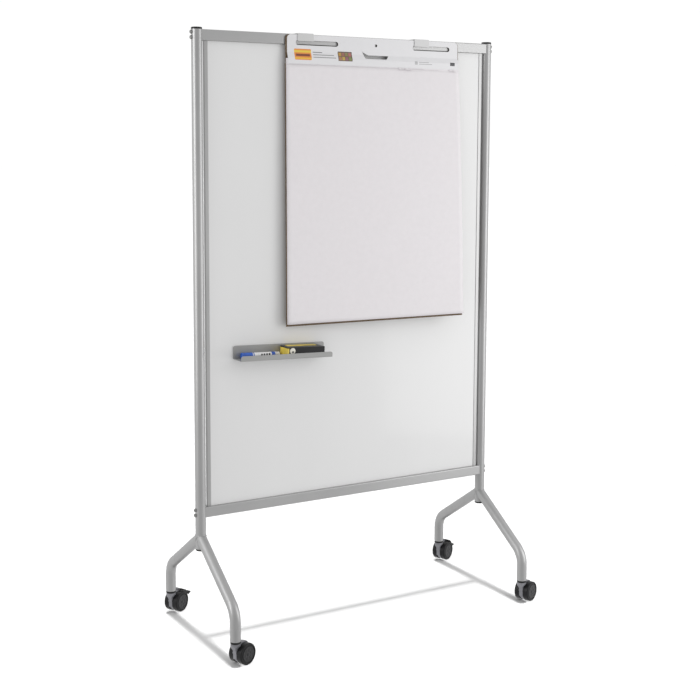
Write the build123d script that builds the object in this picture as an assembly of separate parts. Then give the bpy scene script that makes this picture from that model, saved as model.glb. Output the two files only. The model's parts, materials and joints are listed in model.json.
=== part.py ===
from build123d import *
from math import atan2, cos, degrees, radians, sin, sqrt, tan
import os

# Rolling two-sided whiteboard on two Y-shaped tube bases with four twin-wheel casters, carrying a
# flip-chart pad on two sheet-metal hooks and a magnetic tray with a marker and an eraser.
# Millimetres, +Z up.  The shapes are first placed about the board: X along the board's width from the
# middle, Y = 0 in the board's middle plane with the pad side at -Y, Z = 0 on the floor.  write() then
# moves each one so that the origin is under the middle of the outline, which the trailing casters and
# the brake levers shift away from the board.
BOARD_X = -23.0
BOARD_Y = -13.5

# ---- driving dimensions ---------------------------------------------------------------------------
HEIGHT = 1829.0          # floor to the top of the post caps
POST_SPACING = 1035.0    # between the post axes
TUBE_R = 15.875          # every post, base tube and leg: 31.75 mm (1 1/4 in) round tube
TUBE_WALL = 1.6
CAP_H = 6.0
RAIL_H = 31.75           # both rails
RAIL_D = 25.4
RAIL_WALL = 2.0
BOTTOM_RAIL_Z = 376.5    # underside of the bottom rail
JOINT_Z = 416.5          # where a post stands on its base tube
BASE_Z = 280.5           # lower end of the base tubes
PLUG_T = 5.5             # black plug below that end
STEM_SPACING = 480.0     # between the front and rear caster stems
LEG_MEET_Z = 315.5       # height where a leg's centre line meets the base tube's axis
LEG_SLOPE = radians(33)
LEG_BEND_R = 63.5
LEG_END_Z = 74.5         # lower end of a leg tube

CORE_T = 6.2             # panel core
SKIN_T = 0.6             # each steel writing skin
STILE_IN = 485.0         # inner and outer edge of an edge stile, from the board's middle
STILE_OUT = 497.0
STILE_T = 10.4
TONGUE = 6.0             # how far the core reaches into a rail

WHEEL_R = 32.0
WHEEL_W = 18.0
WHEEL_GAP = 14.0         # between the two wheels of a caster
CASTER_TRAIL = 28.0      # stem axis to axle
CASTER_ANGLES = {"front_left": 21.0, "rear_left": 30.0, "rear_right": 25.0, "front_right": 22.0}
AXLE_R = 3.0
STEM_R = 4.0
RUN_CLEAR = 0.05         # radial running clearance of a shaft in its hole
FIT_GAP = 0.1            # radial gap of a plug or sleeve in a tube
LEVER_PRESS = 8.0        # degrees between a brake lever's free and locked positions

PAD_LEFT = -236.0        # flip-chart pad, hung on the top rail
PAD_RIGHT = 391.0
PAD_TOP = 1821.0
PAD_BOTTOM = 943.0
HEADER_BOTTOM = 1734.0
PAD_LIFT_LEFT = 7.0      # how far the pad's lower corners stand forward of its top
PAD_LIFT_RIGHT = 44.0
HOOK_W = 54.0
HOOK_T = 2.0
LEFT_HOOK_X = -170.0
RIGHT_HOOK_X = 249.0

TRAY_X = -254.5          # middle of the marker tray
TRAY_L = 311.0
TRAY_Z = 845.0           # underside of the tray's floor
TRAY_TILT = 1.8          # degrees, right end down: the tray only clings to the board by magnets

# ---- derived places -------------------------------------------------------------------------------
POST_X = POST_SPACING / 2
POST_TOP = HEIGHT - CAP_H
TOP_RAIL_Z = POST_TOP - RAIL_H
STEM_Y = STEM_SPACING / 2
CORE_HALF = CORE_T / 2
FACE_Y = CORE_HALF + SKIN_T
RAIL_FRONT = -RAIL_D / 2
SIDES = {"left": -1, "right": 1}
ENDS = {"front": -1, "rear": 1}
BOTTOM_ALIGN = (Align.CENTER, Align.CENTER, Align.MIN)


def write(name, shape):
    """Move a shape from the board's frame to the part's frame and save it as one node."""
    export_step(Pos(BOARD_X, BOARD_Y, 0) * shape, f"parts/{name}.step")


def block(x0, x1, y0, y1, z0, z1):
    """A box between two values on each axis."""
    return Pos((x0 + x1) / 2, (y0 + y1) / 2, (z0 + z1) / 2) * Box(x1 - x0, y1 - y0, z1 - z0)


def rod(start, direction, radius, length):
    """A round bar from a point along a direction."""
    return Plane(origin=start, z_dir=direction) * Cylinder(radius, length, align=BOTTOM_ALIGN)


def upright(x, y, z0, z1, radius):
    return rod((x, y, z0), (0, 0, 1), radius, z1 - z0)


def upright_tube(x, y, z0, z1, radius, wall):
    return upright(x, y, z0, z1, radius) - upright(x, y, z0 - 1, z1 + 1, radius - wall)


def group(shapes):
    """Separate solids that share one node."""
    return Compound(list(shapes))


# ---- frame bolts ----------------------------------------------------------------------------------
BOLT_R = 3.0
BOLT_HOLE_R = 3.2
BOLT_PITCH = 15.5        # between the two bolts of one rail end
BOLT_HEAD_R = 5.6
BOLT_HEAD_H = 3.6
BOLT_LENGTH = 46.0
INSERT_FROM = 487.0      # inner end of the threaded insert in a rail's end


def bolt_heights(rail_z):
    middle = rail_z + RAIL_H / 2
    return [middle - BOLT_PITCH / 2, middle + BOLT_PITCH / 2]


def bolt_holes(rail_z):
    """Holes along X through everything at both ends of one rail."""
    reach = POST_X + TUBE_R + 5
    return [rod((-reach, 0, z), (1, 0, 0), BOLT_HOLE_R, 2 * reach) for z in bolt_heights(rail_z)]


def frame_bolt(side, z):
    """Button-head bolt through the post, its collar shaped to the round tube."""
    seat = side * (POST_X + TUBE_R + 1.0)
    head = rod((seat, 0, z), (side, 0, 0), BOLT_HEAD_R, BOLT_HEAD_H)
    head = fillet(head.edges().group_by(Axis.X)[-1 if side > 0 else 0], 2.4)
    socket = rod((seat + side * 1.6, 0, z), (side, 0, 0), 2.0, BOLT_HEAD_H)
    collar = rod((seat, 0, z), (-side, 0, 0), BOLT_HEAD_R - 0.6, 3.0)
    collar -= upright(side * POST_X, 0, z - 20, z + 20, TUBE_R + FIT_GAP)
    shank = rod((seat, 0, z), (-side, 0, 0), BOLT_R, BOLT_LENGTH)
    return head - socket + collar + shank


# ---- frame ----------------------------------------------------------------------------------------
def post(side):
    """Upper post, from the joint to just under the cap."""
    tube = upright_tube(side * POST_X, 0, JOINT_Z, POST_TOP, TUBE_R, TUBE_WALL)
    return tube - bolt_holes(TOP_RAIL_Z)


def post_cap(side):
    """Thin plastic cap with a skirt that plugs the tube."""
    x = side * POST_X
    disc = upright(x, 0, POST_TOP, HEIGHT, TUBE_R + 0.3)
    disc = fillet(disc.edges().group_by(Axis.Z)[-1], 2.5)
    skirt = upright_tube(x, 0, POST_TOP - 4.0, POST_TOP, TUBE_R - TUBE_WALL - FIT_GAP, 1.5)
    return disc + skirt


def rail(rail_z, groove_side):
    """Rectangular tube coped to both posts; its panel groove is on the top (+1) or the bottom (-1)."""
    middle = rail_z + RAIL_H / 2
    section = RectangleRounded(RAIL_D, RAIL_H, 3.0)
    section -= RectangleRounded(RAIL_D - 2 * RAIL_WALL, RAIL_H - 2 * RAIL_WALL, 1.2)
    plane = Plane(origin=(-POST_X, 0, middle), x_dir=(0, 1, 0), z_dir=(1, 0, 0))
    tube = extrude(plane * section, amount=POST_SPACING)
    edge = middle + groove_side * RAIL_H / 2
    groove_end = STILE_IN - 0.5
    tube -= block(-groove_end, groove_end, -CORE_HALF, CORE_HALF, edge - RAIL_WALL, edge + RAIL_WALL)
    for side in SIDES.values():
        tube -= upright(side * POST_X, 0, rail_z - 5, rail_z + RAIL_H + 5, TUBE_R)
    return tube


def rail_insert(side, rail_z):
    """Threaded block inside a rail's end that the frame bolts pull against."""
    inner = RAIL_WALL + 0.4
    insert = block(
        min(side * INSERT_FROM, side * POST_X),
        max(side * INSERT_FROM, side * POST_X),
        -RAIL_D / 2 + inner, RAIL_D / 2 - inner,
        rail_z + inner, rail_z + RAIL_H - inner,
    )
    insert -= upright(side * POST_X, 0, rail_z, rail_z + RAIL_H, TUBE_R + FIT_GAP)
    for z in bolt_heights(rail_z):
        insert -= rod((side * POST_X, 0, z), (-side, 0, 0), BOLT_R + RUN_CLEAR, 60)
    return insert


def stile(side):
    """Channel that closes the panel's side edge."""
    z0 = BOTTOM_RAIL_Z + RAIL_H
    outer = block(
        min(side * STILE_IN, side * STILE_OUT),
        max(side * STILE_IN, side * STILE_OUT),
        -STILE_T / 2, STILE_T / 2, z0, TOP_RAIL_Z,
    )
    outer = fillet(outer.edges().filter_by(Axis.Z), 1.0)
    core_edge = STILE_OUT - 2.5
    slot = block(
        min(side * (STILE_IN - 2), side * core_edge),
        max(side * (STILE_IN - 2), side * core_edge),
        -CORE_HALF, CORE_HALF, z0 - 1, TOP_RAIL_Z + 1,
    )
    return outer - slot


def panel_core():
    """Board core: its long edges sit in the rails, its short edges in the stiles."""
    z0 = BOTTOM_RAIL_Z + RAIL_H
    wide = STILE_OUT - 2.5
    narrow = STILE_IN - 1.0
    core = block(-wide, wide, -CORE_HALF, CORE_HALF, z0 + 0.3, TOP_RAIL_Z - 0.3)
    core += block(-narrow, narrow, -CORE_HALF, CORE_HALF, z0 - TONGUE, TOP_RAIL_Z + TONGUE)
    return core


def skin(face):
    """Steel writing surface on the front (-1) or rear (+1) of the core."""
    z0 = BOTTOM_RAIL_Z + RAIL_H + 0.3
    y0, y1 = sorted((face * CORE_HALF, face * FACE_Y))
    return block(-STILE_IN + 0.2, STILE_IN - 0.2, y0, y1, z0, TOP_RAIL_Z - 0.3)


def base_tube(side):
    """Lower upright that carries the bottom rail and both legs."""
    tube = upright_tube(side * POST_X, 0, BASE_Z, JOINT_Z, TUBE_R, TUBE_WALL)
    return tube - bolt_holes(BOTTOM_RAIL_Z)


def base_plug(side):
    x = side * POST_X
    disc = upright(x, 0, BASE_Z - PLUG_T, BASE_Z, TUBE_R - 0.2)
    disc = fillet(disc.edges().group_by(Axis.Z)[0], 2.0)
    return disc + upright_tube(x, 0, BASE_Z, BASE_Z + 12, TUBE_R - TUBE_WALL - FIT_GAP, 2.0)


def post_spigot(side):
    """Inner sleeve that joins a post to its base tube."""
    radius = TUBE_R - TUBE_WALL - FIT_GAP
    sleeve = upright_tube(side * POST_X, 0, JOINT_Z - 60, JOINT_Z + 60, radius, 2.2)
    return sleeve - bolt_holes(BOTTOM_RAIL_Z)


def leg(side, end):
    """Bent tube leg, coped to the base tube, running down and out and then straight down."""
    x = side * POST_X
    corner_z = LEG_MEET_Z - STEM_Y * tan(LEG_SLOPE)
    route = FilletPolyline(
        (x, 0, LEG_MEET_Z), (x, end * STEM_Y, corner_z), (x, end * STEM_Y, LEG_END_Z), radius=LEG_BEND_R
    )
    start = Plane(origin=route @ 0, z_dir=route % 0)
    section = Circle(TUBE_R) - Circle(TUBE_R - TUBE_WALL)
    tube = sweep(start * section, path=route)
    tube -= upright(x, 0, BASE_Z - 60, JOINT_Z + 60, TUBE_R)
    other_half = block(x - 60, x + 60, -60, 0, 100, 500)
    if end < 0:
        other_half = block(x - 60, x + 60, 0, 60, 100, 500)
    pieces = (tube - other_half).solids()
    return pieces.sort_by(lambda piece: piece.volume)[-1]


SOCKET_TOP = LEG_END_Z + 28.0
SWIVEL_Z = LEG_END_Z - 6.5     # underside of the black swivel ring
STEM_TOP = SOCKET_TOP - 4.0


def caster_socket(side, end):
    """Plastic plug in the leg's end with the ring that the caster turns under."""
    x, y = side * POST_X, end * STEM_Y
    plug = upright(x, y, LEG_END_Z, SOCKET_TOP, TUBE_R - TUBE_WALL - FIT_GAP)
    ring = upright(x, y, SWIVEL_Z, LEG_END_Z, TUBE_R - 0.6)
    ring = fillet(ring.edges().group_by(Axis.Z)[0], 1.0)
    bore = upright(x, y, SWIVEL_Z - 1, STEM_TOP + 0.5, STEM_R + RUN_CLEAR)
    return plug + ring - bore


# ---- casters --------------------------------------------------------------------------------------
# Each caster is drawn with its stem on the Z axis and its wheels trailing along +X.
HOOD_W = WHEEL_GAP - 1.0
HOOD_TOP = SWIVEL_Z - 0.4
FENDER_R = WHEEL_R + 2.5
PIVOT_R = WHEEL_R + 3.4
PIVOT_ANGLE = radians(80)
PIVOT_X = CASTER_TRAIL + PIVOT_R * cos(PIVOT_ANGLE)
PIVOT_Z = WHEEL_R + PIVOT_R * sin(PIVOT_ANGLE)
PIN_R = 1.5


def across(x, z, radius, y0, y1):
    """A round bar along Y, parallel to the axle."""
    return rod((x, y0, z), (0, 1, 0), radius, y1 - y0)


def caster_hood(with_lug):
    """Grey housing: a web between the wheels, a fender over it and a flared neck under the ring."""
    half = HOOD_W / 2
    web = across(CASTER_TRAIL, WHEEL_R, WHEEL_R - 2.5, -half, half)
    fender = across(CASTER_TRAIL, WHEEL_R, FENDER_R, -half, half)
    fender &= block(-20, CASTER_TRAIL + 16, -half, half, WHEEL_R + 6, WHEEL_R + 60)
    neck_r = TUBE_R - 0.9
    front = [(-half, 20), (half, 20), (half, 51), (neck_r, 65), (neck_r, HOOD_TOP)]
    outline = front + [(-neck_r, HOOD_TOP), (-neck_r, 65), (-half, 51)]
    face = make_face(Polyline(*outline, close=True))
    flare = extrude(Plane(origin=(-20, 0, 0), x_dir=(0, 1, 0), z_dir=(1, 0, 0)) * face, amount=45)
    flare &= upright(0, 0, 20, HOOD_TOP, neck_r)
    chin = make_face(Polyline((-20, 20), (-3, 20), (-4, 44), (-neck_r - 1, 65), (-20, 65), close=True))
    flare -= extrude(Plane(origin=(0, 20, 0), x_dir=(1, 0, 0), z_dir=(0, -1, 0)) * chin, amount=40)
    cheek = across(CASTER_TRAIL, WHEEL_R, WHEEL_R + 0.8, half, 60)
    cheek += across(CASTER_TRAIL, WHEEL_R, WHEEL_R + 0.8, -60, -half)
    hood = web + fender + (flare - cheek)
    if with_lug:
        lug = across(PIVOT_X, PIVOT_Z, 3.2, -half, half)
        lug += block(PIVOT_X - 3.2, PIVOT_X + 3.2, -half, half, PIVOT_Z - 8, PIVOT_Z)
        hood = hood + lug - across(PIVOT_X, PIVOT_Z, PIN_R, -20, 20)
    hood -= across(CASTER_TRAIL, WHEEL_R, AXLE_R, -20, 20)
    return hood - upright(0, 0, 42, 90, STEM_R)


def caster_wheel(side):
    """Moulded wheel: rounded tread, a stepped outer face and a blind bore from the inside."""
    inner = WHEEL_GAP / 2
    wheel = Cylinder(WHEEL_R, WHEEL_W, align=BOTTOM_ALIGN)
    wheel = fillet(wheel.edges().group_by(Axis.Z)[-1], 3.5)
    wheel = fillet(wheel.edges().group_by(Axis.Z)[0], 1.0)
    step = Pos(0, 0, WHEEL_W - 1.4) * (Cylinder(25.5, 3, align=BOTTOM_ALIGN) - Cylinder(23.5, 8))
    dish = Pos(0, 0, WHEEL_W - 0.7) * Cylinder(23.6, 3, align=BOTTOM_ALIGN)
    wheel = wheel - step - dish - Cylinder(AXLE_R + RUN_CLEAR, 26)
    place = Plane(origin=(CASTER_TRAIL, side * inner, WHEEL_R), x_dir=(1, 0, 0), z_dir=(0, side, 0))
    return place * wheel


def caster_axle():
    return across(CASTER_TRAIL, WHEEL_R, AXLE_R, -WHEEL_GAP / 2 - 12, WHEEL_GAP / 2 + 12)


def arc_band(inner_r, outer_r, from_deg, to_deg, y0, y1):
    """Part of a ring about the axle, between two angles above the trailing direction."""
    def spot(radius, degree):
        angle = radians(degree)
        return (CASTER_TRAIL + radius * cos(angle), WHEEL_R + radius * sin(angle))

    middle = (from_deg + to_deg) / 2
    outer = ThreePointArc(spot(outer_r, from_deg), spot(outer_r, middle), spot(outer_r, to_deg))
    inner = ThreePointArc(spot(inner_r, to_deg), spot(inner_r, middle), spot(inner_r, from_deg))
    sides = [Line(outer @ 1, inner @ 0), Line(inner @ 1, outer @ 0)]
    face = make_face([outer, inner] + sides)
    plane = Plane(origin=(0, y1, 0), x_dir=(1, 0, 0), z_dir=(0, -1, 0))
    return extrude(plane * face, amount=y1 - y0)


def brake_lever(pressed):
    """Pedal arched over both wheels, hinged on the hood, with two shoes and an outward toe."""
    ear_in = HOOD_W / 2 + 0.3
    ear_out = ear_in + 2.2
    pedal = arc_band(WHEEL_R + 4.8, WHEEL_R + 7.6, 23, 72, -21, 21)
    pedal += arc_band(WHEEL_R + 6.4, WHEEL_R + 19.0, 19.5, 24, -21, 21)
    for y0 in (-ear_out, ear_in):
        y1 = y0 + ear_out - ear_in
        pedal += arc_band(WHEEL_R + 1.6, WHEEL_R + 7.6, 66, 84, y0, y1)
    for y0 in (-15.0, 11.0):
        pedal += arc_band(WHEEL_R + 2.6, WHEEL_R + 5.0, 57, 64, y0, y0 + 4)
    pedal -= across(PIVOT_X, PIVOT_Z, PIN_R + RUN_CLEAR, -20, 20)
    if pressed:
        hinge = Axis((PIVOT_X, 0, PIVOT_Z), (0, 1, 0))
        pedal = pedal.rotate(hinge, LEVER_PRESS)
    return pedal


def lever_pin():
    reach = HOOD_W / 2 + 2.4
    return across(PIVOT_X, PIVOT_Z, PIN_R, -reach, reach)


def place_caster(corner, shape):
    end, side = corner.split("_")
    spot = Pos(SIDES[side] * POST_X, ENDS[end] * STEM_Y, 0)
    return spot * Rot(0, 0, CASTER_ANGLES[corner]) * shape


# ---- flip-chart pad and its hooks -----------------------------------------------------------------
BACKING_Y = -15.2        # rear face of the pad's backing board
BACKING_T = 1.5
HEADER_T = 1.5
SHEETS_T = 5.6
SHEETS_TOP = 1750.0
TOP_SHEET_T = 0.4
SLOT_H = 14.5
SLOT_TOP = 1804.5
SLOTS = ((-203.0, -55.5), (216.0, 357.5))
HANG_HOLE_X = 80.0
HANG_HOLE_Z = 1798.5
HANG_HOLE_R = 4.5
HANDLE_Z = 1757.0
HANDLE_H = 28.0
HAND_WINDOW = (26.0, 125.0)


def hook(x):
    """Bent strip: over the top rail, down its front, through the header's slot and up again."""
    rear_y = RAIL_D / 2 + 0.25
    front_y = RAIL_FRONT - 0.25
    top = POST_TOP + 0.25
    floor = SLOT_TOP - 0.3
    lip_y = front_y - 8.3
    z_top = top + HOOK_T
    outline = [
        (rear_y, 1806), (rear_y, top), (front_y, top), (front_y, floor - HOOK_T),
        (lip_y, floor - HOOK_T), (lip_y, z_top), (lip_y + HOOK_T, z_top), (lip_y + HOOK_T, floor),
        (front_y - HOOK_T, floor), (front_y - HOOK_T, z_top), (rear_y + HOOK_T, z_top),
        (rear_y + HOOK_T, 1806),
    ]
    face = make_face(Polyline(*outline, close=True))
    plane = Plane(origin=(x - HOOK_W / 2, 0, 0), x_dir=(0, 1, 0), z_dir=(1, 0, 0))
    strip = extrude(plane * face, amount=HOOK_W)
    ends = strip.edges().filter_by(Axis.Y).group_by(Axis.Z)[-1]
    lip_ends = [edge for edge in ends if edge.center().Y < front_y - HOOK_T]
    return fillet(lip_ends, 3.0)


def card_cuts():
    """Slots, hang hole and hand hole through the header."""
    cuts = []
    for x0, x1 in SLOTS:
        middle = ((x0 + x1) / 2, SLOT_TOP - SLOT_H / 2)
        cuts.append(Pos(*middle) * SlotOverall(x1 - x0, SLOT_H))
    cuts.append(Pos(HANG_HOLE_X, HANG_HOLE_Z) * Circle(HANG_HOLE_R))
    hand = Polyline(
        (26, HANDLE_Z + HANDLE_H), (31, HANDLE_Z + 20), (51, HANDLE_Z + 11), (125, HANDLE_Z + 11),
        (117, HANDLE_Z), (40, HANDLE_Z), close=True,
    )
    cuts.append(make_face(hand))
    plane = Plane(origin=(0, 0, 0), x_dir=(1, 0, 0), z_dir=(0, -1, 0))
    return [extrude(plane * cut, amount=40) for cut in cuts]


def pad_lift(x, z):
    """How far the hanging pad stands forward of its flat top at one spot."""
    across_share = (x - PAD_LEFT) / (PAD_RIGHT - PAD_LEFT)
    drop = max(0.0, (HEADER_BOTTOM - z) / (HEADER_BOTTOM - PAD_BOTTOM))
    reach = PAD_LIFT_LEFT + (PAD_LIFT_RIGHT - PAD_LIFT_LEFT) * across_share
    return reach * (1.5 * drop - 0.5 * drop ** 2)


def hanging_slab(x0, x1, z_top, z_bottom, y_back, thickness):
    """A sheet that follows the pad's twist: straight across, curved from top to bottom."""
    stations = 6
    sections = []
    for step in range(stations):
        z = z_top + (z_bottom - z_top) * step / (stations - 1)
        left = y_back - pad_lift(x0, z)
        right = y_back - pad_lift(x1, z)
        corners = [(x0, left, z), (x1, right, z), (x1, right - thickness, z), (x0, left - thickness, z)]
        sections.append(make_face(Polyline(*corners, close=True)))
    return loft(sections)


def pad_backing():
    """Cardboard behind the sheets, below the header."""
    left = PAD_LEFT - 3
    return hanging_slab(left, PAD_RIGHT + 0.5, HEADER_BOTTOM, PAD_BOTTOM - 4.5, BACKING_Y, BACKING_T)


def head_strip(x0, x1, z0, z1):
    return block(x0, x1, BACKING_Y - BACKING_T, BACKING_Y, z0, z1)


def pad_head():
    """Card strips glued behind the header; the slots and the hand hole are the windows between them."""
    left = PAD_LEFT - 1
    right = PAD_RIGHT + 0.5
    hand_left, hand_right = HAND_WINDOW
    top = head_strip(left, right, SLOT_TOP, PAD_TOP)
    corners = [edge for edge in top.edges().filter_by(Axis.Y) if edge.center().Z > PAD_TOP - 0.1]
    slot_floor = SLOT_TOP - SLOT_H
    hand_top = HANDLE_Z + HANDLE_H
    between_slots = head_strip(SLOTS[0][1], SLOTS[1][0], slot_floor, SLOT_TOP)
    between_slots -= rod((HANG_HOLE_X, -30, HANG_HOLE_Z), (0, 1, 0), HANG_HOLE_R, 30)
    return group([
        fillet(corners, 13.0),
        head_strip(left, SLOTS[0][0], slot_floor, SLOT_TOP),
        between_slots,
        head_strip(SLOTS[1][1], right, slot_floor, SLOT_TOP),
        head_strip(left, right, hand_top, slot_floor),
        head_strip(left, hand_left, HANDLE_Z, hand_top),
        head_strip(hand_right, right, HANDLE_Z, hand_top),
        head_strip(left, right, HEADER_BOTTOM, HANDLE_Z),
    ])


def pad_header():
    """Printed card folded over the head of the sheets."""
    back = BACKING_Y - BACKING_T - 0.1
    step = back - SHEETS_T - 0.2
    outline = [
        (back, PAD_TOP), (back, 1768), (step, 1752), (step, HEADER_BOTTOM),
        (step - HEADER_T, HEADER_BOTTOM), (step - HEADER_T, 1753), (back - HEADER_T, 1769),
        (back - HEADER_T, PAD_TOP),
    ]
    face = make_face(Polyline(*outline, close=True))
    plane = Plane(origin=(-232, 0, 0), x_dir=(0, 1, 0), z_dir=(1, 0, 0))
    card = extrude(plane * face, amount=621)
    for cut in card_cuts():
        card -= cut
    corners = [edge for edge in card.edges().filter_by(Axis.Y) if edge.center().Z > PAD_TOP - 0.1]
    return fillet(corners, 13.0)


def pad_sheets():
    back = BACKING_Y - BACKING_T - 0.1
    bound = block(PAD_LEFT, PAD_RIGHT - 1, back - SHEETS_T, back, HEADER_BOTTOM, SHEETS_TOP)
    return bound + hanging_slab(PAD_LEFT, PAD_RIGHT - 1, HEADER_BOTTOM, PAD_BOTTOM + 2, back, SHEETS_T)


def top_sheet():
    """The sheet in use, which turns up and over the header."""
    back = BACKING_Y - BACKING_T - 0.1 - SHEETS_T - 0.4
    return hanging_slab(PAD_LEFT, PAD_RIGHT, HEADER_BOTTOM - 1.2, PAD_BOTTOM + 2, back, TOP_SHEET_T)


# ---- marker tray and what lies in it --------------------------------------------------------------
TRAY_WALL = 1.5
TRAY_BACK_Y = -5.4
TRAY_FRONT_Y = -63.5
TRAY_BACK_H = 40.0
TRAY_LIP_H = 16.5
MARKER_R = 8.3
MARKER_Y = -17.5
MARKER_TAIL_X = -262.0
MARKER_L = 127.0
CAP_L = 36.0
ERASER_X0 = -254.0
ERASER_X1 = -126.0
ERASER_Y0 = -60.5
ERASER_Y1 = -9.5
ERASER_H = 32.0
ERASER_TILT = 0.7        # degrees more than the tray


def on_tray(shape, extra_tilt=0.0, pivot_x=TRAY_X):
    """Tilt a shape with the tray, after an optional tilt of its own about a point on the floor."""
    floor = TRAY_Z + TRAY_WALL
    turned = shape.rotate(Axis((pivot_x, 0, floor), (0, 1, 0)), extra_tilt)
    return turned.rotate(Axis((TRAY_X, 0, TRAY_Z), (0, 1, 0)), TRAY_TILT)


def tray():
    """One folded strip: back plate, floor and front lip, open at both ends."""
    outline = [
        (TRAY_BACK_Y, TRAY_Z + TRAY_BACK_H), (TRAY_BACK_Y, TRAY_Z), (TRAY_FRONT_Y, TRAY_Z),
        (TRAY_FRONT_Y, TRAY_Z + TRAY_LIP_H), (TRAY_FRONT_Y + TRAY_WALL, TRAY_Z + TRAY_LIP_H),
        (TRAY_FRONT_Y + TRAY_WALL, TRAY_Z + TRAY_WALL), (TRAY_BACK_Y - TRAY_WALL, TRAY_Z + TRAY_WALL),
        (TRAY_BACK_Y - TRAY_WALL, TRAY_Z + TRAY_BACK_H),
    ]
    face = make_face(Polyline(*outline, close=True))
    plane = Plane(origin=(TRAY_X - TRAY_L / 2, 0, 0), x_dir=(0, 1, 0), z_dir=(1, 0, 0))
    strip = extrude(plane * face, amount=TRAY_L)
    bends = strip.edges().filter_by(Axis.X).group_by(Axis.Z)
    strip = fillet(bends[0], 3.0)
    tips = [edge for edge in strip.edges().filter_by(Axis.Y) if edge.center().Z > TRAY_Z + 10]
    return on_tray(fillet(tips, 6.0))


def tray_magnets():
    """Two flat magnet strips on the rear of the tray's back plate."""
    strips = []
    for x in (TRAY_X - 80, TRAY_X + 80):
        strips.append(block(x - 55, x + 55, TRAY_BACK_Y, -FACE_Y - 0.2, TRAY_Z + 12, TRAY_Z + 32))
    return on_tray(group(strips))


def marker_axis_z():
    return TRAY_Z + TRAY_WALL + MARKER_R + 0.8


def marker_barrel():
    """Barrel with a thinner tail plug at one end and a neck for the cap at the other."""
    z = marker_axis_z()
    cap_end = MARKER_TAIL_X - MARKER_L + CAP_L
    barrel = rod((MARKER_TAIL_X - 14, MARKER_Y, z), (-1, 0, 0), MARKER_R, MARKER_L - CAP_L - 14)
    tail = rod((MARKER_TAIL_X, MARKER_Y, z), (-1, 0, 0), 7.4, 20)
    neck = rod((cap_end + 2, MARKER_Y, z), (-1, 0, 0), 6.4, 20)
    nib = rod((cap_end - 16, MARKER_Y, z), (-1, 0, 0), 3.0, 10)
    return on_tray(barrel + tail + neck + nib)


def marker_cap():
    z = marker_axis_z()
    mouth = MARKER_TAIL_X - MARKER_L + CAP_L - 0.3
    cap = rod((mouth, MARKER_Y, z), (-1, 0, 0), MARKER_R + 0.6, CAP_L - 0.3)
    cap = fillet(cap.edges().group_by(Axis.X)[0], 2.0)
    return on_tray(cap - rod((mouth + 1, MARKER_Y, z), (-1, 0, 0), 6.8, 32))


def eraser_box():
    """Hollow-looking plastic back of the eraser, closed all round above the felt."""
    floor = TRAY_Z + TRAY_WALL + 0.5
    body = block(ERASER_X0, ERASER_X1, ERASER_Y0, ERASER_Y1, floor + 8, floor + ERASER_H)
    body = fillet(body.edges().group_by(Axis.Z)[-1], 2.0)
    body -= block(ERASER_X0 - 1, ERASER_X0 + 5, ERASER_Y0 - 1, ERASER_Y1 + 1, floor, floor + ERASER_H - 3.5)
    return on_tray(body, ERASER_TILT, ERASER_X1)


def eraser_felt():
    floor = TRAY_Z + TRAY_WALL + 0.5
    felt = block(ERASER_X0 + 6, ERASER_X1 - 1, ERASER_Y0 + 1, ERASER_Y1 - 1, floor, floor + 8)
    return on_tray(felt, ERASER_TILT, ERASER_X1)


def eraser_trim():
    """Yellow end piece under the box's lid, and the wide yellow strip along the top."""
    floor = TRAY_Z + TRAY_WALL + 0.5
    end = block(ERASER_X0 + 0.6, ERASER_X0 + 5, ERASER_Y0, ERASER_Y1, floor, floor + ERASER_H - 3.5)
    end = fillet(end.edges().filter_by(Axis.X).group_by(Axis.Z)[0], 3.0)
    top = floor + ERASER_H
    strip = block(ERASER_X0 + 14, ERASER_X1 - 14, ERASER_Y1 - 24, ERASER_Y1 - 3, top, top + 1.0)
    return on_tray(group([end, strip]), ERASER_TILT, ERASER_X1)


# ---- write every node -----------------------------------------------------------------------------
os.makedirs("parts", exist_ok=True)

for side_name, side in SIDES.items():
    write(f"post_{side_name}", post(side))
    write(f"base_tube_{side_name}", base_tube(side))
    write(f"stile_{side_name}", stile(side))
    for end_name, end in ENDS.items():
        write(f"leg_{end_name}_{side_name}", leg(side, end))

write("top_rail", rail(TOP_RAIL_Z, -1))
write("bottom_rail", rail(BOTTOM_RAIL_Z, 1))
write("panel_core", panel_core())
write("front_skin", skin(-1))
write("rear_skin", skin(1))
write("post_caps", group(post_cap(side) for side in SIDES.values()))
write("base_plugs", group(base_plug(side) for side in SIDES.values()))
write("post_spigots", group(post_spigot(side) for side in SIDES.values()))

RAILS = (TOP_RAIL_Z, BOTTOM_RAIL_Z)
write("rail_inserts", group(rail_insert(side, z) for side in SIDES.values() for z in RAILS))
bolts = [frame_bolt(side, z) for side in SIDES.values() for rail_z in RAILS for z in bolt_heights(rail_z)]
write("frame_bolts", group(bolts))
write("caster_sockets", group(caster_socket(s, e) for s in SIDES.values() for e in ENDS.values()))

for corner in CASTER_ANGLES:
    braked = corner.startswith("rear")
    write(f"caster_hood_{corner}", place_caster(corner, caster_hood(braked)))
    write(f"caster_stem_{corner}", place_caster(corner, upright(0, 0, 42, STEM_TOP, STEM_R)))
    write(f"caster_axle_{corner}", place_caster(corner, caster_axle()))
    write(f"wheel_near_{corner}", place_caster(corner, caster_wheel(-1)))
    write(f"wheel_far_{corner}", place_caster(corner, caster_wheel(1)))
    if braked:
        write(f"brake_lever_{corner}", place_caster(corner, brake_lever(corner == "rear_right")))
        write(f"lever_pin_{corner}", place_caster(corner, lever_pin()))

write("hook_left", hook(LEFT_HOOK_X))
write("hook_right", hook(RIGHT_HOOK_X))
write("pad_head", pad_head())
write("pad_backing", pad_backing())
write("pad_header", pad_header())
write("pad_sheets", pad_sheets())
write("top_sheet", top_sheet())

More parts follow.
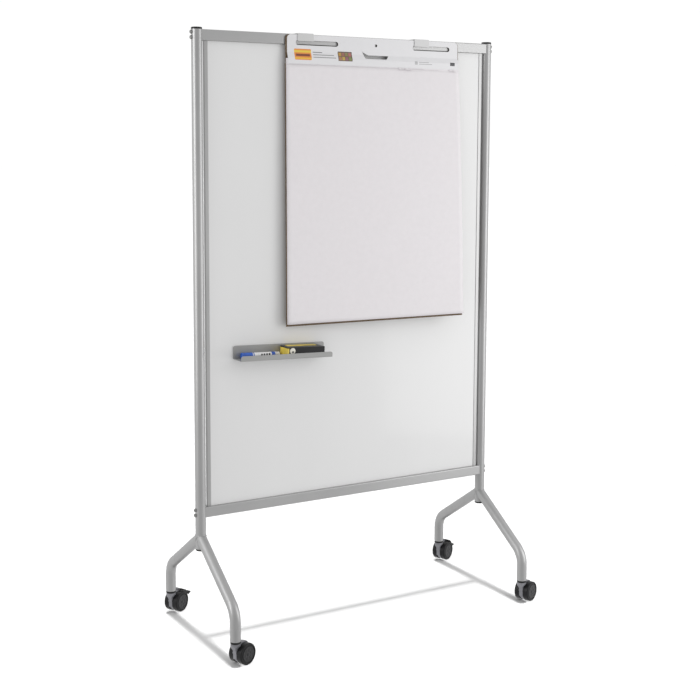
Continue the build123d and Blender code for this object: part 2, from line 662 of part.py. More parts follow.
write("tray", tray())
write("tray_magnets", tray_magnets())
write("marker_barrel", marker_barrel())
write("marker_cap", marker_cap())
write("eraser_box", eraser_box())
write("eraser_felt", eraser_felt())
write("eraser_trim", eraser_trim())
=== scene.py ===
import json
import math
import random

import bmesh
import bpy
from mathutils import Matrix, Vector


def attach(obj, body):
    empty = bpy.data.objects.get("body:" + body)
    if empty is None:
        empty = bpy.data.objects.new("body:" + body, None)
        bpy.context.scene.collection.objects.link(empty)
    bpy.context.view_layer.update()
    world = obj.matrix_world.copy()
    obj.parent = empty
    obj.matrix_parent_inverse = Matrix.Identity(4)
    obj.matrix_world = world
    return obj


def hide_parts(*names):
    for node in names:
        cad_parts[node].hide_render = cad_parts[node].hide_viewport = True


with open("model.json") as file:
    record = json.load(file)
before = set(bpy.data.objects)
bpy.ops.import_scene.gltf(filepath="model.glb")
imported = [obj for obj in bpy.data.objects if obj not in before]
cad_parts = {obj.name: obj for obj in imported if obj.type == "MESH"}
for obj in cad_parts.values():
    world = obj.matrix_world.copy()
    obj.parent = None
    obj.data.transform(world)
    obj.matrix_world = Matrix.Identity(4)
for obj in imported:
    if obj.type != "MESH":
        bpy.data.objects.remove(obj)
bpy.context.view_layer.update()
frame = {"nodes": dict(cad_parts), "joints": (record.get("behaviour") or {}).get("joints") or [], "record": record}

# Looks of the rolling whiteboard.  Lengths are metres in the part's frame.  Places that follow the
# board are written in the board's own millimetres (x from its middle, y from its middle plane, z from
# the floor) and pass through at().
BOARD_X = -23.0
BOARD_Y = -13.5
nodes = frame["nodes"]
rng = random.Random(7)


def at(x, y, z):
    """A point in the board's millimetres as metres in the part's frame."""
    return Vector((x + BOARD_X, y + BOARD_Y, z)) / 1000


# ---- camera ---------------------------------------------------------------------------------------
FOCAL_PX = 1271.6
IMAGE_PX = 700
CAMERA_PLACE = (-2.0458, -3.4512, 1.5011)
CAMERA_YAW = 0.5319        # turned from +Y towards +X
CAMERA_PITCH = -0.1082
CAMERA_ROLL = 0.0043
CAMERA_SHIFT = (0.0, -0.10)


def make_camera():
    forward = Vector((
        math.sin(CAMERA_YAW) * math.cos(CAMERA_PITCH),
        math.cos(CAMERA_YAW) * math.cos(CAMERA_PITCH),
        math.sin(CAMERA_PITCH),
    ))
    flat_right = Vector((math.cos(CAMERA_YAW), -math.sin(CAMERA_YAW), 0))
    flat_up = flat_right.cross(forward)
    right = flat_right * math.cos(CAMERA_ROLL) + flat_up * math.sin(CAMERA_ROLL)
    up = flat_up * math.cos(CAMERA_ROLL) - flat_right * math.sin(CAMERA_ROLL)
    data = bpy.data.cameras.new("camera")
    data.sensor_width = 36
    data.lens = FOCAL_PX / IMAGE_PX * data.sensor_width
    data.shift_x, data.shift_y = CAMERA_SHIFT
    data.clip_end = 200
    camera = bpy.data.objects.new("camera", data)
    bpy.context.scene.collection.objects.link(camera)
    matrix = camera.matrix_world.copy()
    for row in range(3):
        matrix[row][0] = right[row]
        matrix[row][1] = up[row]
        matrix[row][2] = -forward[row]
        matrix[row][3] = CAMERA_PLACE[row]
    camera.matrix_world = matrix
    bpy.context.scene.camera = camera


make_camera()


# ---- shader building ------------------------------------------------------------------------------
class Shader:
    """A Principled material whose colour, roughness and bump come from procedural textures."""

    def __init__(self, name, **constants):
        self.material = bpy.data.materials.new(name)
        self.material.use_nodes = True
        self.tree = self.material.node_tree
        self.surface = self.tree.nodes["Principled BSDF"]
        for socket, value in constants.items():
            self.surface.inputs[socket.replace("_", " ")].default_value = value
        self.place = self.node("ShaderNodeTexCoord").outputs["Object"]

    def node(self, kind, **settings):
        made = self.tree.nodes.new(kind)
        for key, value in settings.items():
            setattr(made, key, value)
        return made

    def link(self, source, target):
        self.tree.links.new(source, target)

    def stretched(self, sx, sy, sz, turn=(0, 0, 0)):
        """The place, scaled along each axis."""
        mapping = self.node("ShaderNodeMapping")
        mapping.inputs["Scale"].default_value = (sx, sy, sz)
        mapping.inputs["Rotation"].default_value = turn
        self.link(self.place, mapping.inputs["Vector"])
        return mapping.outputs["Vector"]

    def noise(self, scale, detail=2.0, rough=0.5, vector=None, distortion=0.0):
        made = self.node("ShaderNodeTexNoise")
        made.inputs["Scale"].default_value = scale
        made.inputs["Detail"].default_value = detail
        made.inputs["Roughness"].default_value = rough
        made.inputs["Distortion"].default_value = distortion
        self.link(vector or self.place, made.inputs["Vector"])
        return made.outputs["Fac"]

    def cells(self, scale, vector=None):
        made = self.node("ShaderNodeTexVoronoi")
        made.inputs["Scale"].default_value = scale
        self.link(vector or self.place, made.inputs["Vector"])
        return made.outputs["Distance"]

    def remap(self, value, low, high, to_low, to_high):
        made = self.node("ShaderNodeMapRange")
        for key, number in zip(("From Min", "From Max", "To Min", "To Max"), (low, high, to_low, to_high)):
            made.inputs[key].default_value = number
        self.link(value, made.inputs["Value"])
        return made.outputs["Result"]

    def math(self, operation, a, b=None):
        made = self.node("ShaderNodeMath", operation=operation)
        for socket, value in zip(made.inputs, (a, b)):
            if value is None:
                continue
            if isinstance(value, (int, float)):
                socket.default_value = value
            else:
                self.link(value, socket)
        return made.outputs["Value"]

    def blend(self, factor, a, b):
        """Two colours mixed; each is a link or three numbers."""
        made = self.node("ShaderNodeMix", data_type="RGBA", blend_type="MIX")
        for socket, value in ((made.inputs[0], factor), (made.inputs[6], a), (made.inputs[7], b)):
            if isinstance(value, (int, float)):
                socket.default_value = value
            elif isinstance(value, tuple):
                socket.default_value = (*value, 1)
            else:
                self.link(value, socket)
        return made.outputs[2]

    def axis(self, index):
        made = self.node("ShaderNodeSeparateXYZ")
        self.link(self.place, made.inputs["Vector"])
        return made.outputs[index]

    def box_mask(self, x0, x1, z0, z1, corner=0.0):
        """1 inside a rounded rectangle, seen along Y and given in the board's millimetres, else 0."""
        parts = []
        for index, low, high, move in ((0, x0, x1, BOARD_X), (2, z0, z1, 0.0)):
            middle = ((low + high) / 2 + move) / 1000
            half = (high - low) / 2000 - corner / 1000
            offset = self.math("ABSOLUTE", self.math("SUBTRACT", self.axis(index), middle))
            parts.append(self.math("MAXIMUM", self.math("SUBTRACT", offset, half), 0.0))
        squares = self.math("ADD", self.math("POWER", parts[0], 2.0), self.math("POWER", parts[1], 2.0))
        reach = max(corner / 1000, 1e-5)
        return self.math("LESS_THAN", squares, reach * reach)

    def finish(self, color=None, roughness=None, height=None, strength=0.3, depth=0.0001):
        if color is not None:
            self.link(color, self.surface.inputs["Base Color"])
        if roughness is not None:
            self.link(roughness, self.surface.inputs["Roughness"])
        if height is not None:
            bump = self.node("ShaderNodeBump")
            bump.inputs["Strength"].default_value = strength
            bump.inputs["Distance"].default_value = depth
            self.link(height, bump.inputs["Height"])
            self.link(bump.outputs["Normal"], self.surface.inputs["Normal"])
        return self.material


def scaled(tone, factor):
    return tuple(channel * factor for channel in tone)


# ---- materials ------------------------------------------------------------------------------------
def powder_coat(name, tone, metallic=0.75, low_wear=True):
    """Satin metallic paint: fine grain, faint cloudiness, rubbed and dusty near the floor."""
    s = Shader(name, Metallic=metallic)
    cloud = s.noise(3.1, 3)
    fleck = s.noise(1900, 1)
    grain = s.noise(620, 2)
    color = s.blend(s.remap(cloud, 0.35, 0.65, 0, 1), scaled(tone, 0.95), scaled(tone, 1.05))
    color = s.blend(s.remap(fleck, 0.35, 0.7, 0.0, 0.22), color, scaled(tone, 1.35))
    rough = s.remap(cloud, 0.3, 0.7, 0.36, 0.44)
    if low_wear:
        streaks = s.noise(38, 4, 0.65, s.stretched(1, 1, 0.18))
        low = s.remap(s.axis(2), 0.0, 0.34, 1.0, 0.0)
        scuff = s.math("MULTIPLY", s.remap(streaks, 0.56, 0.72, 0.0, 0.45), low)
        color = s.blend(scuff, color, scaled(tone, 0.62))
        rough = s.math("ADD", rough, s.math("MULTIPLY", scuff, 0.25))
    return s.finish(color, rough, grain, 0.22, 0.00012)


def enamel(name):
    """Dry-erase enamel: hard and clean, with wiping haze and faint traces of old strokes."""
    tone = (0.825, 0.825, 0.825)
    s = Shader(name, Coat_Weight=0.35, Coat_Roughness=0.09)
    wiping = s.noise(2.4, 5, 0.6, s.stretched(1, 1, 0.45, (0, 0.5, 0)))
    trace = s.noise(7.0, 6, 0.7, s.stretched(0.7, 1, 1.5), 2.2)
    ripple = s.noise(26, 2)
    color = s.blend(s.remap(wiping, 0.3, 0.7, 0, 1), scaled(tone, 0.985), scaled(tone, 1.015))
    color = s.blend(s.remap(trace, 0.66, 0.74, 0.0, 0.05), color, (0.45, 0.48, 0.55))
    rough = s.remap(wiping, 0.3, 0.7, 0.34, 0.46)
    return s.finish(color, rough, ripple, 0.05, 0.0006)


SPARK_SCALE = 1400.0
DUST_TOP = 0.09            # metres above the floor where the dust thins out


def moulded(name, tone, rough, strength=0.25, dust=0.0, shine=0.5):
    """Injection-moulded plastic with a fine spark texture and, low down, a little dust."""
    s = Shader(name, Specular_IOR_Level=shine)
    cloud = s.noise(22, 3)
    spark = s.noise(SPARK_SCALE, 2)
    color = s.blend(s.remap(cloud, 0.35, 0.65, 0, 1), scaled(tone, 0.88), scaled(tone, 1.12))
    level = s.remap(cloud, 0.3, 0.7, rough - 0.05, rough + 0.07)
    if dust:
        patches = s.noise(95, 5, 0.7)
        low = s.remap(s.axis(2), 0.0, DUST_TOP, 1.0, 0.15)
        mask = s.math("MULTIPLY", s.remap(patches, 0.45, 0.72, 0.0, dust), low)
        color = s.blend(mask, color, (0.30, 0.29, 0.27))
        level = s.math("ADD", level, s.math("MULTIPLY", mask, 0.5))
    return s.finish(color, level, spark, strength, 0.00008)


def zinc(name):
    """Bright zinc plate with a faint spangle and fine turning lines."""
    s = Shader(name, Metallic=1.0)
    spangle = s.cells(260)
    lines = s.noise(900, 2, 0.5, s.stretched(1, 1, 6))
    color = s.blend(s.remap(spangle, 0.0, 0.8, 0, 1), (0.22, 0.22, 0.215), (0.34, 0.34, 0.335))
    rough = s.remap(lines, 0.3, 0.7, 0.24, 0.42)
    return s.finish(color, rough, lines, 0.15, 0.00005)


def board_core(name):
    """Brown fibreboard edge."""
    s = Shader(name)
    fibres = s.noise(340, 4, 0.6, s.stretched(0.25, 1, 0.25))
    color = s.blend(s.remap(fibres, 0.3, 0.7, 0, 1), (0.20, 0.14, 0.09), (0.38, 0.29, 0.20))
    return s.finish(color, s.remap(fibres, 0.3, 0.7, 0.7, 0.9), fibres, 0.4, 0.0002)


def cardboard(name):
    """Grey-brown chipboard: mottled pulp, flecks, and a layered edge."""
    s = Shader(name)
    pulp = s.noise(160, 5, 0.65)
    fleck = s.noise(700, 2)
    layers = s.noise(900, 1, 0.5, s.stretched(0.02, 2.4, 0.02))
    color = s.blend(s.remap(pulp, 0.3, 0.7, 0, 1), (0.115, 0.075, 0.042), (0.205, 0.145, 0.09))
    color = s.blend(s.remap(fleck, 0.62, 0.74, 0.0, 0.5), color, (0.33, 0.27, 0.2))
    color = s.blend(s.remap(layers, 0.35, 0.65, 0.0, 0.25), color, (0.07, 0.045, 0.028))
    return s.finish(color, s.remap(pulp, 0.3, 0.7, 0.78, 0.95), pulp, 0.35, 0.00025)


PAPER_TONE = (0.85, 0.82, 0.84)


def paper(name, tone=PAPER_TONE):
    """Uncoated paper: faint formation clouds, long soft waves and fine tooth."""
    s = Shader(name, Specular_IOR_Level=0.3)
    cloud = s.noise(60, 4, 0.6)
    broad = s.noise(3.4, 2)
    tooth = s.noise(1500, 3, 0.6)
    color = s.blend(s.remap(cloud, 0.3, 0.7, 0, 1), scaled(tone, 0.985), scaled(tone, 1.015))
    color = s.blend(s.remap(broad, 0.35, 0.65, 0.0, 0.03), color, (0.86, 0.78, 0.78))
    return s.finish(color, s.remap(tooth, 0.3, 0.7, 0.68, 0.82), tooth, 0.12, 0.00006)


SWATCHES = (
    (0.42, 0.20, 0.10), (0.55, 0.38, 0.08), (0.30, 0.12, 0.16), (0.22, 0.26, 0.08),
    (0.50, 0.30, 0.06), (0.34, 0.14, 0.10), (0.26, 0.22, 0.08), (0.46, 0.16, 0.14),
)


INK_Y = -17.9              # only what lies in front of this, the card's front, is printed


def header_card(name):
    """Coated card with plain printed shapes: a warm patch, grey rules, a swatch block and a dark bar."""
    s = Shader(name, Coat_Weight=0.25, Coat_Roughness=0.25)
    cloud = s.noise(45, 3)
    tooth = s.noise(900, 2)
    tone = (0.80, 0.795, 0.81)
    color = s.blend(s.remap(cloud, 0.3, 0.7, 0, 1), scaled(tone, 0.985), scaled(tone, 1.015))
    ink_edge = s.noise(1100, 2)
    prints = [
        ((-209, -151, 1746, 1779), 3.0, (0.82, 0.27, 0.04)),
        ((-209, -151, 1768, 1775), 0.6, (0.86, 0.60, 0.06)),
        ((-204, -156, 1757, 1764), 0.6, (0.22, 0.06, 0.03)),
        ((-209, -151, 1748.5, 1753), 0.6, (0.86, 0.50, 0.05)),
        ((-145, -112, 1769, 1771.6), 0.6, (0.22, 0.22, 0.23)),
        ((-145, -72, 1761.5, 1764), 0.6, (0.30, 0.30, 0.31)),
        ((-145, -66, 1754, 1756.5), 0.6, (0.30, 0.30, 0.31)),
        ((-58, -8, 1747, 1776), 1.5, (0.12, 0.075, 0.05)),
        ((221, 232, 1745.5, 1756), 1.5, (0.50, 0.50, 0.51)),
        ((237, 274, 1752, 1754.2), 0.6, (0.46, 0.46, 0.47)),
        ((237, 287, 1746.5, 1748.7), 0.6, (0.46, 0.46, 0.47)),
        ((357, 375, 1745.5, 1756), 1.5, (0.05, 0.05, 0.055)),
    ]
    for index, tint in enumerate(SWATCHES):
        x = -55.5 + 11.6 * (index % 4)
        z = 1749.5 + 12.4 * (index // 4)
        prints.append(((x, x + 9.8, z, z + 10.6), 0.8, tint))
    for (x0, x1, z0, z1), corner, tint in prints:
        mask = s.box_mask(x0, x1, z0, z1, corner)
        mask = s.math("MULTIPLY", mask, s.remap(ink_edge, 0.25, 0.45, 0.8, 1.0))
        mask = s.math("MULTIPLY", mask, s.math("LESS_THAN", s.axis(1), (BOARD_Y + INK_Y) / 1000))
        color = s.blend(mask, color, tint)
    return s.finish(color, s.remap(cloud, 0.3, 0.7, 0.42, 0.55), tooth, 0.08, 0.00005)


def marker_label(name):
    """Glossy white barrel with a blue ring and plain dark dashes where the print would be."""
    s = Shader(name, Coat_Weight=0.6, Coat_Roughness=0.05)
    cloud = s.noise(60, 2)
    color = s.blend(s.remap(cloud, 0.3, 0.7, 0, 1), (0.84, 0.84, 0.84), (0.90, 0.90, 0.90))
    for x0, x1 in ((-289, -277), (-350, -347)):
        color = s.blend(s.box_mask(x0, x1, 800, 900), color, (0.02, 0.10, 0.52))
    dash = (0.02, 0.02, 0.025)
    for index in range(4):
        x0 = -326 + index * 8.6
        color = s.blend(s.box_mask(x0, x0 + 6.2, 856.5, 862.2, 1.2), color, dash)
    return s.finish(color, s.remap(cloud, 0.3, 0.7, 0.22, 0.34), cloud, 0.05, 0.0002)


def marker_cap(name):
    """Blue cap, ribbed along its length."""
    s = Shader(name, Coat_Weight=0.4, Coat_Roughness=0.08)
    cloud = s.noise(60, 2)
    ribs = s.noise(520, 1, 0.5, s.stretched(0.02, 1, 1))
    color = s.blend(s.remap(cloud, 0.3, 0.7, 0, 1), (0.012, 0.085, 0.46), (0.02, 0.13, 0.62))
    return s.finish(color, s.remap(cloud, 0.3, 0.7, 0.26, 0.36), ribs, 0.35, 0.0004)


def felt(name):
    """Pressed charcoal felt with ink dust in it."""
    s = Shader(name, Sheen_Weight=0.5, Sheen_Roughness=0.6)
    fibres = s.noise(900, 5, 0.75, distortion=1.5)
    stain = s.noise(60, 3)
    color = s.blend(s.remap(fibres, 0.3, 0.7, 0, 1), (0.05, 0.05, 0.052), (0.16, 0.16, 0.165))
    color = s.blend(s.remap(stain, 0.55, 0.7, 0.0, 0.5), color, (0.05, 0.06, 0.12))
    return s.finish(color, s.remap(fibres, 0.3, 0.7, 0.85, 0.98), fibres, 0.9, 0.0006)


def magnet(name):
    """Dark flexible magnet with moulded lines."""
    s = Shader(name)
    lines = s.noise(800, 1, 0.5, s.stretched(0.05, 1, 1.6))
    color = s.blend(s.remap(lines, 0.3, 0.7, 0, 1), (0.028, 0.027, 0.026), (0.06, 0.057, 0.054))
    return s.finish(color, s.remap(lines, 0.3, 0.7, 0.6, 0.75), lines, 0.3, 0.0002)


FRAME_TONE = (0.435, 0.435, 0.435)
materials = {
    "frame_paint": powder_coat("frame_paint", FRAME_TONE),
    "board_core": board_core("board_core"),
    "board_enamel": enamel("board_enamel"),
    "black_plastic": moulded("black_plastic", (0.012, 0.012, 0.012), 0.38, dust=0.06, shine=0.35),
    "zinc_steel": zinc("zinc_steel"),
    "hood_grey": moulded("hood_grey", (0.235, 0.235, 0.255), 0.40, dust=0.10),
    "wheel_black": moulded("wheel_black", (0.010, 0.010, 0.011), 0.34, strength=0.15, dust=0.05, shine=0.25),
    "hook_white": powder_coat("hook_white", (0.62, 0.62, 0.62), 0.1, False),
    "cardboard": cardboard("cardboard"),
    "header_card": header_card("header_card"),
    "paper": paper("paper"),
    "tray_grey": powder_coat("tray_grey", (0.36, 0.36, 0.355), 0.3, False),
    "magnet": magnet("magnet"),
    "marker_white": marker_label("marker_white"),
    "marker_blue": marker_cap("marker_blue"),
    "eraser_black": moulded("eraser_black", (0.012, 0.012, 0.013), 0.34, shine=0.35),
    "eraser_felt": felt("eraser_felt"),
    "eraser_yellow": moulded("eraser_yellow", (0.84, 0.64, 0.10), 0.40),
}


def dress(obj, material):
    obj.data.materials.clear()
    obj.data.materials.append(material)


for part in frame["record"]["subparts"]:
    dress(nodes[part["node"]], materials[part["material_slot"]])


# ---- mesh helpers ---------------------------------------------------------------------------------
def piece(name, points, faces, slot_name, body, material=None, smooth=True):
    """A mesh piece with outward faces that rides on a CAD body."""
    mesh = bpy.data.meshes.new(name)
    mesh.from_pydata([tuple(p) for p in points], [], faces)
    builder = bmesh.new()
    builder.from_mesh(mesh)
    bmesh.ops.recalc_face_normals(builder, faces=builder.faces)
    for face in builder.faces:
        face.smooth = smooth
    builder.to_mesh(mesh)
    builder.free()
    obj = bpy.data.objects.new(name, mesh)
    bpy.context.scene.collection.objects.link(obj)
    mesh.materials.append(material or materials[slot_name])
    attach(obj, body)
    return obj


def sheet_shell(columns, rows, spot, thickness):
    """Points and faces of a thin closed sheet; spot(u, v) gives its rear surface in the board's mm."""
    points = []
    for layer in (0.0, thickness):
        for row in range(rows + 1):
            for column in range(columns + 1):
                x, y, z = spot(column / columns, row / rows)
                points.append(at(x, y - layer, z))
    wide = columns + 1
    layer_size = wide * (rows + 1)
    faces = []
    for row in range(rows):
        for column in range(columns):
            a = row * wide + column
            quad = (a, a + 1, a + 1 + wide, a + wide)
            faces.append(quad)
            faces.append(tuple(layer_size + i for i in reversed(quad)))
    rim = list(range(wide))
    rim += [r * wide + columns for r in range(1, rows + 1)]
    rim += [rows * wide + c for c in range(columns - 1, -1, -1)]
    rim += [r * wide for r in range(rows - 1, 0, -1)]
    for index, a in enumerate(rim):
        b = rim[(index + 1) % len(rim)]
        faces.append((a, layer_size + a, layer_size + b, b))
    return points, faces


def joined(parts):
    """Several (points, faces) lists as one."""
    points, faces = [], []
    for more_points, more_faces in parts:
        start = len(points)
        points.extend(more_points)
        faces.extend(tuple(start + i for i in face) for face in more_faces)
    return points, faces


# ---- flip-chart pad -------------------------------------------------------------------------------
PAD_LEFT, PAD_RIGHT = -236.0, 391.0
HEADER_BOTTOM, PAD_BOTTOM = 1734.0, 943.0
PAD_LIFT_LEFT, PAD_LIFT_RIGHT = 7.0, 44.0
SHEETS_BACK_Y = -16.8
SHEETS_T = 5.6
SHEETS_TOP = 1750.0
SHEETS_BOTTOM = PAD_BOTTOM + 2.0
LEAVES = 14
LEAF_PITCH = 0.4
LEAF_T = 0.3
PAGE_GAP = 0.4             # between the block and the sheet in use
PAGE_T = 0.16
PAGE_TOP = HEADER_BOTTOM - 1.2
SCRAPS = ((160.0, 20.0), (184.0, 26.0), (352.0, 24.0))     # left edge and width of each torn scrap
SCRAP_COLUMNS = 16
SCRAP_BACK_Y = -23.3
SCRAP_TOP = 1733.4
SCRAP_T = 0.15


def pad_lift(x, z):
    """How far the pad hangs forward of its flat top at one spot."""
    share = (x - PAD_LEFT) / (PAD_RIGHT - PAD_LEFT)
    drop = max(0.0, (HEADER_BOTTOM - z) / (HEADER_BOTTOM - PAD_BOTTOM))
    reach = PAD_LIFT_LEFT + (PAD_LIFT_RIGHT - PAD_LIFT_LEFT) * share
    return reach * (1.5 * drop - 0.5 * drop ** 2)


def make_sheet_stack():
    """The bound sheets, each with its own slightly uneven edge."""
    leaves = []
    for index in range(LEAVES):
        back = SHEETS_BACK_Y - index * LEAF_PITCH
        left = PAD_LEFT + rng.uniform(0.0, 0.7)
        right = PAD_RIGHT - 1.0 - rng.uniform(0.0, 0.7)
        bottom = SHEETS_BOTTOM + rng.uniform(0.0, 1.0)

        def spot(u, v, back=back, left=left, right=right, bottom=bottom):
            x = left + (right - left) * u
            z = SHEETS_TOP + (bottom - SHEETS_TOP) * v
            return x, back - pad_lift(x, z), z

        leaves.append(sheet_shell(10, 16, spot, LEAF_T))
    stack = piece("sheet_stack", *joined(leaves), "paper", "pad", smooth=False)
    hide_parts("pad_sheets")


def make_page():
    """The sheet in use: flat at the head, with long soft waves and slightly lifting lower corners."""
    back = SHEETS_BACK_Y - SHEETS_T - PAGE_GAP

    def spot(u, v):
        x = PAD_LEFT + (PAD_RIGHT - PAD_LEFT) * u
        z = PAGE_TOP + (SHEETS_BOTTOM - PAGE_TOP) * v
        wave = 0.5 * math.sin(9.0 * u + 2.5 * v) + 0.35 * math.sin(4.0 * u - 7.0 * v + 1.0)
        lift = 0.45 * (1 + wave) * min(1.0, 3.0 * v)
        corner = 2.6 * max(0.0, v - 0.86) / 0.14 * (max(0.0, 0.12 - u) / 0.12) ** 2
        corner += 2.0 * max(0.0, v - 0.88) / 0.12 * (max(0.0, u - 0.9) / 0.1) ** 2
        return x, back - pad_lift(x, z) - lift - corner, z

    page = piece("page_sheet", *sheet_shell(48, 64, spot, PAGE_T), "paper", "page")
    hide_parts("top_sheet")


def make_torn_stub():
    """What is left of torn-off pages: ragged strips curling out from under the header."""
    scraps = []
    for left, width in SCRAPS:
        ragged = [rng.uniform(2.5, 8.0) for _ in range(SCRAP_COLUMNS + 1)]

        def spot(u, v, left=left, width=width, ragged=ragged):
            depth = ragged[round(u * SCRAP_COLUMNS)] * v
            curl = 0.6 + 0.11 * depth ** 2 + 0.5 * math.sin(9.0 * u)
            return left + width * u, SCRAP_BACK_Y - curl, SCRAP_TOP - depth

        scraps.append(sheet_shell(SCRAP_COLUMNS, 5, spot, SCRAP_T))
    piece("torn_stub", *joined(scraps), "paper", "pad")


make_sheet_stack()
make_page()
make_torn_stub()


# ---- weld beads -----------------------------------------------------------------------------------
POST_X = 517.5
TUBE_R = 15.875
LEG_MEET_Z = 315.5
LEG_SLOPE = math.radians(33)
BEAD_R = 1.7


def bead_tube(path, radius, sides=8):
    """A bead swept along a list of vectors, its radius wavering like laid-down weld."""
    points, faces = [], []
    count = len(path)
    for index, spot in enumerate(path):
        before = path[max(index - 1, 0)]
        after = path[min(index + 1, count - 1)]
        along = (after - before).normalized()
        side = along.cross(Vector((0.31, 0.17, 0.93))).normalized()
        other = along.cross(side)
        swell = radius * (1.0 + 0.16 * math.sin(index * 2.1) + 0.06 * math.sin(index * 5.3))
        for step in range(sides):
            angle = 2 * math.pi * step / sides
            points.append(spot + (side * math.cos(angle) + other * math.sin(angle)) * swell)
    for index in range(count - 1):
        following = index + 1
        for step in range(sides):
            turned = (step + 1) % sides
            faces.append((
                index * sides + step, following * sides + step,
                following * sides + turned, index * sides + turned,
            ))
    faces.append(tuple(range(sides)))
    faces.append(tuple((count - 1) * sides + step for step in range(sides)))
    return points, faces


def leg_weld(side, end):
    """Path of the bead where a leg's tube meets the base tube, over its upper half and sides."""
    slope_y, slope_z = end * math.cos(LEG_SLOPE), -math.sin(LEG_SLOPE)
    lift_y, lift_z = end * math.sin(LEG_SLOPE), math.cos(LEG_SLOPE)
    path = []
    steps = 44
    for index in range(steps + 1):
        angle = math.radians(-28 + 236 * index / steps)
        x = TUBE_R * math.cos(angle)
        rise = TUBE_R * math.sin(angle)
        reach = (TUBE_R * abs(math.sin(angle)) - rise * lift_y * end) / (slope_y * end)
        y = slope_y * reach + lift_y * rise
        z = LEG_MEET_Z + slope_z * reach + lift_z * rise
        path.append(at(side * POST_X + x * 1.01, y, z))
    return path


def make_welds():
    beads = []
    for side in (-1, 1):
        for end in (-1, 1):
            beads.append(bead_tube(leg_weld(side, end), BEAD_R / 1000))
    piece("weld_beads", *joined(beads), "frame_paint", "frame")


make_welds()


# ---- caster wheel faces ---------------------------------------------------------------------------
DISH_DEPTH = 0.0007        # metres that a face is set into its wheel
POCKETS = 6
POCKET_FROM = 8.0
POCKET_TO = 16.0
RIB_HEIGHT = 0.55
HUB_PROFILE = (
    (0.0, 1.45), (2.2, 1.4), (4.6, 1.2), (5.4, 0.8), (5.9, 0.3), (7.2, 0.25), (9.0, 0.35), (12.0, 0.4),
    (15.0, 0.4), (17.6, 0.45), (19.4, 0.9), (21.4, 0.95), (22.4, 0.7), (22.8, 0.1), (22.8, -0.3),
)


def hub_face(middle, along):
    """A lathe-turned disc with a centre cap, a raised rim and six shallow pockets between ribs."""
    side = along.orthogonal().normalized()
    other = along.cross(side)
    steps = 72
    points = [middle + along * HUB_PROFILE[0][1] / 1000]
    for radius, height in HUB_PROFILE[1:]:
        for step in range(steps):
            angle = 2 * math.pi * step / steps
            ribbed = POCKET_FROM < radius < POCKET_TO
            pocket = max(0.0, math.cos(POCKETS * angle)) ** 0.5 if ribbed else 0.0
            rise = (height + RIB_HEIGHT * (1 - pocket) * ribbed) / 1000
            out = (side * math.cos(angle) + other * math.sin(angle)) * radius / 1000
            points.append(middle + out + along * rise)
    faces = [(0, 1 + (step + 1) % steps, 1 + step) for step in range(steps)]
    for ring in range(len(HUB_PROFILE) - 2):
        start = 1 + ring * steps
        for step in range(steps):
            a, b = start + step, start + (step + 1) % steps
            faces.append((a, b, b + steps, a + steps))
    faces.append(tuple(1 + (len(HUB_PROFILE) - 2) * steps + step for step in range(steps)))
    return points, faces


def make_wheel_faces():
    material = moulded("wheel_face", (0.026, 0.026, 0.028), 0.30, strength=0.2, dust=0.05, shine=0.32)
    for joint in frame["joints"]:
        if not joint["name"].startswith("spin_"):
            continue
        wheel = joint["child"]
        along = Vector(joint["axis"]).normalized()
        hub = Vector(joint["pos_m"])
        reaches = [(vertex.co - hub).dot(along) for vertex in nodes[wheel].data.vertices]
        far = max(reaches, key=abs)
        if far < 0:
            along = -along
        middle = hub + along * (abs(far) - DISH_DEPTH)
        piece(f"face_{wheel}", *hub_face(middle, along), "wheel_black", wheel, material)


make_wheel_faces()


# ---- round mark on the eraser ---------------------------------------------------------------------
MARK_PLACE = (-236.0, -60.5, 868.5)
MARK_PROFILE = ((0.0, 0.85), (4.0, 0.8), (8.0, 0.7), (9.2, 0.45), (9.5, -0.2))


def mark_label(name):
    """Cream disc with a dark patch low in its middle."""
    s = Shader(name, Coat_Weight=0.4, Coat_Roughness=0.1)
    cloud = s.noise(300, 3)
    color = s.blend(s.remap(cloud, 0.35, 0.65, 0, 1), (0.72, 0.69, 0.58), (0.80, 0.78, 0.70))
    x, _, z = MARK_PLACE
    color = s.blend(s.box_mask(x - 3.5, x + 4.5, z - 6.5, z - 0.5, 2.6), color, (0.05, 0.05, 0.05))
    return s.finish(color, s.remap(cloud, 0.3, 0.7, 0.3, 0.45), cloud, 0.1, 0.0001)


def make_mark():
    x, y, z = MARK_PLACE
    steps = 48
    points = [at(x, y - MARK_PROFILE[0][1], z)]
    for radius, height in MARK_PROFILE[1:]:
        for step in range(steps):
            angle = 2 * math.pi * step / steps
            points.append(at(x + radius * math.cos(angle), y - height, z + radius * math.sin(angle)))
    faces = [(0, 1 + step, 1 + (step + 1) % steps) for step in range(steps)]
    for ring in range(len(MARK_PROFILE) - 2):
        start = 1 + ring * steps
        for step in range(steps):
            a, b = start + step, start + (step + 1) % steps
            faces.append((a, a + steps, b + steps, b))
    faces.append(tuple(1 + (len(MARK_PROFILE) - 2) * steps + step for step in range(steps)))
    piece("eraser_mark", points, faces, "eraser_yellow", "eraser", mark_label("mark_label"))


make_mark()


# ---- floor, light and background ------------------------------------------------------------------
FLOOR_REACH = 60.0
WASH_ENERGY = 3.5
WASH_SPREAD = 5            # degrees
SKY_FAR = 0.85             # the sky's strength as a light, away from the lens
SKY_NEAR = 0.58            # and on the lens's side
SKY_SEEN = 1.02            # its strength as the background that the lens sees
LENS_SIDE = (-0.50, -0.86, 0.0)


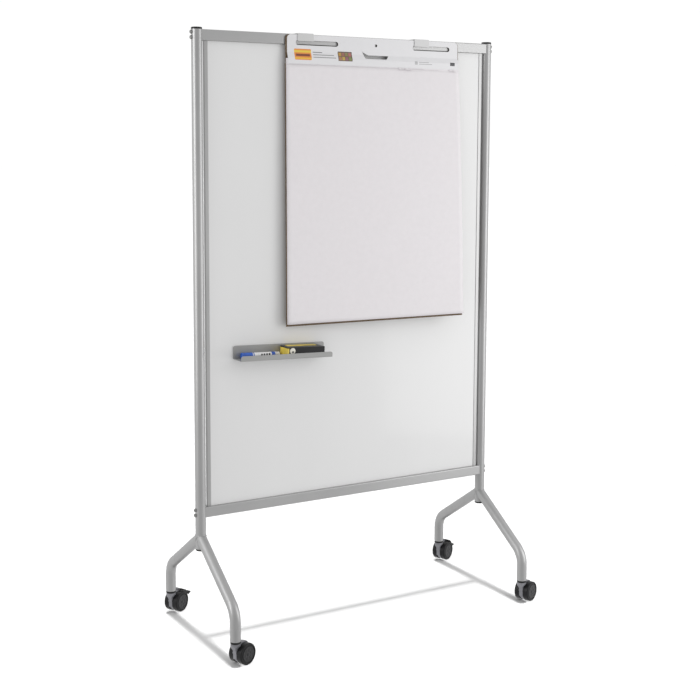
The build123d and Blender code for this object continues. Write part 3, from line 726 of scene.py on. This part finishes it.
def make_floor():
    reach = FLOOR_REACH
    mesh = bpy.data.meshes.new("floor")
    corners = [(-reach, -reach, 0), (reach, -reach, 0), (reach, reach, 0), (-reach, reach, 0)]
    mesh.from_pydata(corners, [], [(0, 1, 2, 3)])
    floor = bpy.data.objects.new("floor", mesh)
    bpy.context.scene.collection.objects.link(floor)
    s = Shader("floor_sweep", Roughness=0.9, Specular_IOR_Level=0.0)
    cloud = s.noise(0.8, 2)
    color = s.blend(s.remap(cloud, 0.3, 0.7, 0, 1), (0.60, 0.60, 0.60), (0.61, 0.61, 0.61))
    mesh.materials.append(s.finish(color))
    floor.visible_diffuse = False
    floor.visible_glossy = False
    return floor


def area_light(name, place, target, width, height, power):
    data = bpy.data.lights.new(name, "AREA")
    data.shape = "RECTANGLE"
    data.size = width
    data.size_y = height
    data.energy = power
    light = bpy.data.objects.new(name, data)
    bpy.context.scene.collection.objects.link(light)
    light.location = place
    aim = Vector(target) - Vector(place)
    light.rotation_mode = "QUATERNION"
    light.rotation_quaternion = aim.to_track_quat("-Z", "Y")


def named_group(name, members):
    group = bpy.data.collections.new(name)
    for member in members:
        group.objects.link(member)
    return group


def make_lights(floor):
    """A wash straight down on the floor, shaded by the frame alone, and soft light from both sides."""
    sun = bpy.data.lights.new("floor_wash", "SUN")
    sun.energy = WASH_ENERGY
    sun.angle = math.radians(WASH_SPREAD)
    overhead = bpy.data.objects.new("floor_wash", sun)
    bpy.context.scene.collection.objects.link(overhead)
    shading = [
        nodes[part["node"]] for part in frame["record"]["subparts"] if part["material_slot"] == "frame_paint"
    ]
    overhead.light_linking.receiver_collection = named_group("washed", [floor])
    overhead.light_linking.blocker_collection = named_group("shading", shading)
    area_light("key_right", (1.6, -1.5, 1.15), (0.3, 0.0, 1.0), 1.0, 2.2, 15)
    area_light("fill_left", (-2.5, -0.2, 1.6), (-0.4, -0.05, 1.3), 0.9, 2.2, 18)


def make_world():
    """White behind the object, softer light from the side that the lens looks from."""
    world = bpy.data.worlds.new("studio")
    bpy.context.scene.world = world
    world.use_nodes = True
    tree = world.node_tree
    background = tree.nodes["Background"]
    direction = tree.nodes.new("ShaderNodeTexCoord").outputs["Generated"]
    toward = tree.nodes.new("ShaderNodeVectorMath")
    toward.operation = "DOT_PRODUCT"
    toward.inputs[1].default_value = LENS_SIDE
    tree.links.new(direction, toward.inputs[0])
    level = tree.nodes.new("ShaderNodeMapRange")
    level.interpolation_type = "SMOOTHSTEP"
    for key, value in (("From Min", 0.0), ("From Max", 1.0), ("To Min", SKY_FAR), ("To Max", SKY_NEAR)):
        level.inputs[key].default_value = value
    tree.links.new(toward.outputs["Value"], level.inputs["Value"])
    rays = tree.nodes.new("ShaderNodeLightPath")
    choose = tree.nodes.new("ShaderNodeMix")
    tree.links.new(rays.outputs["Is Camera Ray"], choose.inputs[0])
    tree.links.new(level.outputs["Result"], choose.inputs[2])
    choose.inputs[3].default_value = SKY_SEEN
    tree.links.new(choose.outputs[0], background.inputs["Strength"])
    background.inputs["Color"].default_value = (1, 1, 1, 1)


make_lights(make_floor())
make_world()
bpy.context.scene.view_settings.view_transform = "Standard"
